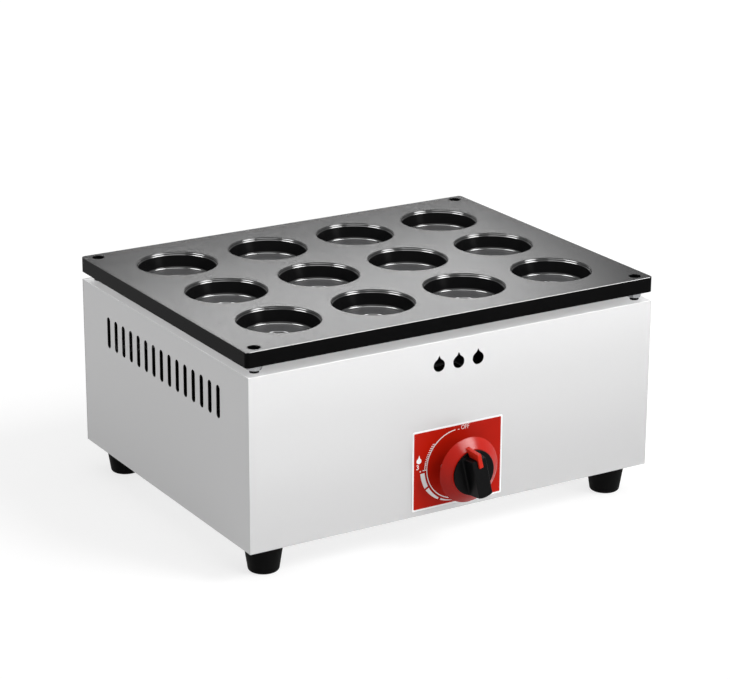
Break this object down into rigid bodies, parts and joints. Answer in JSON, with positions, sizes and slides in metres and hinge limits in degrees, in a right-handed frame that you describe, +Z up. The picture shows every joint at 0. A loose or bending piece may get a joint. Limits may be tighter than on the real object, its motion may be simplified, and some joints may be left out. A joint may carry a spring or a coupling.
{
  "type": "gas egg burger maker",
  "caption": "Countertop gas baking plate with round cups on a steel housing with rubber feet, side vents, lighting holes, a red and black control knob and a rear hose nozzle.",
  "frame": {"origin": "on the floor under the middle of the whole machine", "axes": "+X to the right seen from the front, -Y towards the front with the knob, +Z up"},
  "size_m": [0.45, 0.4356, 0.2246],
  "materials": {
    "stainless": "satin stainless sheet",
    "coated_casting": "black non-stick coating on a casting, satin on top and glossier in the cups",
    "foot_rubber": "matt black rubber",
    "zinc_steel": "bright zinc plate",
    "black_screw": "blackened steel",
    "knob_red": "satin red plastic",
    "knob_black": "satin black plastic",
    "label_red": "red plastic label with white marks and border",
    "brass": "machined brass",
    "burner_steel": "dull steel tube",
    "ceramic": "glazed white ceramic",
    "lead_sheath": "pale silicone sheath"
  },
  "bodies": {
    "housing": {"baking_plate": "coated_casting", "plate_screw_1": "black_screw", "plate_screw_2": "black_screw", "plate_screw_3": "black_screw", "plate_screw_4": "black_screw", "plate_nut_1": "zinc_steel", "plate_nut_2": "zinc_steel", "plate_nut_3": "zinc_steel", "plate_nut_4": "zinc_steel", "plate_spacer_1": "zinc_steel", "plate_spacer_2": "zinc_steel", "plate_spacer_3": "zinc_steel", "plate_spacer_4": "zinc_steel", "housing_wrap": "stainless", "rear_panel": "stainless", "base_plate": "stainless", "rear_screw_1": "zinc_steel", "rear_screw_2": "zinc_steel", "rear_screw_3": "zinc_steel", "rear_screw_4": "zinc_steel", "foot_1": "foot_rubber", "foot_2": "foot_rubber", "foot_3": "foot_rubber", "foot_4": "foot_rubber", "foot_screw_1": "zinc_steel", "foot_screw_2": "zinc_steel", "foot_screw_3": "zinc_steel", "foot_screw_4": "zinc_steel", "foot_nut_1": "zinc_steel", "foot_nut_2": "zinc_steel", "foot_nut_3": "zinc_steel", "foot_nut_4": "zinc_steel", "control_label": "label_red", "valve_bonnet": "brass", "valve_screw_1": "zinc_steel", "valve_screw_2": "zinc_steel", "valve_body": "brass", "gas_jet": "brass", "spark_igniter": "knob_black", "mixing_tube": "burner_steel", "burner_header": "burner_steel", "burner_tube_1": "burner_steel", "burner_tube_2": "burner_steel", "burner_tube_3": "burner_steel", "burner_tube_4": "burner_steel", "burner_rail_front": "stainless", "burner_rail_rear": "stainless", "ignition_electrode": "ceramic", "ignition_lead": "lead_sheath", "hose_nozzle": "brass", "nozzle_locknut": "brass", "supply_pipe": "burner_steel"},
    "valve_plug": {"valve_plug": "brass", "return_spring": "zinc_steel"},
    "knob": {"spindle": "zinc_steel", "knob_skirt": "knob_red", "knob_grip": "knob_black", "knob_pointer": "knob_red"},
    "air_shutter": {"air_shutter": "zinc_steel"}
  },
  "joints": [
    {"name": "knob_turn", "type": "hinge", "parent": "housing", "child": "valve_plug", "pos_m": [0, -0.13825, 0.0758], "axis": [0, -1, 0], "range_deg": [-13, 162]},
    {"name": "knob_push", "type": "slide", "parent": "valve_plug", "child": "knob", "axis": [0, 1, 0], "range_m": [0, 0.0035], "stiffness_N_per_m": 900, "springref_m": -0.006, "deforming": ["return_spring"]},
    {"name": "air_shutter_turn", "type": "hinge", "parent": "housing", "child": "air_shutter", "pos_m": [0, -0.09925, 0.0758], "axis": [0, 1, 0], "range_deg": [-15, 30]}
  ]
}
